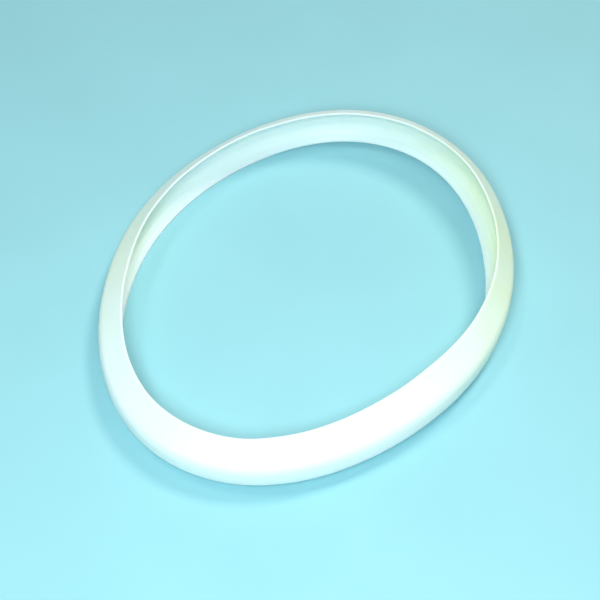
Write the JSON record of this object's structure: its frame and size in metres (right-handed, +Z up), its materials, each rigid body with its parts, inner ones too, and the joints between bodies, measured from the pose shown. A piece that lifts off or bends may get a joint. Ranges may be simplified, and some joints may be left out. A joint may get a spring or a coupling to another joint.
{
  "type": "pressure cooker sealing ring",
  "caption": "Closed ring of white silicone rubber with an inward-facing channel section and two flared lips, lying slightly oval and twisted in its free shape, with one stretch clear of the surface.",
  "frame": {"origin": "centre of the base, in the plane that the ring rests on", "axes": "+Z up along the ring's axis, +Y towards the side that the picture shows furthest away, +X to the right"},
  "size_m": [0.2148, 0.2284, 0.0314],
  "materials": {
    "silicone": "satin"
  },
  "bodies": {
    "root": {"sealing_ring": "silicone"}
  },
  "joints": []
}
